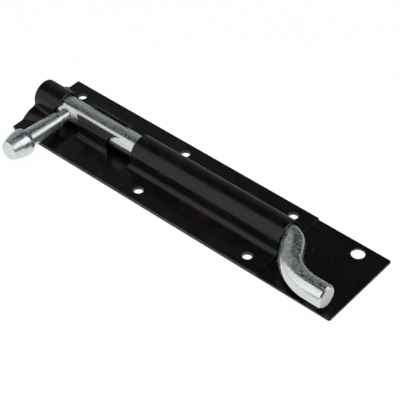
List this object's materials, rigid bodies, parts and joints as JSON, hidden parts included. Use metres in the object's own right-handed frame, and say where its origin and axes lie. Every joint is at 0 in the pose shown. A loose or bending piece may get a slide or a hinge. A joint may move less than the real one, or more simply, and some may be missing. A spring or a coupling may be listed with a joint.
{
  "type": "cranked barrel bolt",
  "caption": "Surface bolt with a turned handle: a cranked round bar turns in a pressed hat-section barrel on a flat base plate and shoots past its end.",
  "frame": {"origin": "centre of the base plate's back face", "axes": "+X along the plate towards the shooting end of the bar, -Y towards the handle's side at rest, +Z away from the door"},
  "size_m": [0.203, 0.0704, 0.018],
  "materials": {
    "black_plate": "gloss",
    "black_cover": "gloss",
    "zinc_rod": "bright zinc plate",
    "zinc_handle": "bright zinc plate"
  },
  "bodies": {
    "barrel_assembly": {"base_plate": "black_plate", "barrel_cover": "black_cover"},
    "bolt": {"bolt_rod": "zinc_rod", "handle_pin": "zinc_handle"}
  },
  "joints": [
    {"name": "bolt_turn", "type": "hinge", "parent": "barrel_assembly", "child": "bolt", "pos_m": [0, 0, 0.0087], "axis": [-1, 0, 0], "range_deg": [0, 173]}
  ]
}
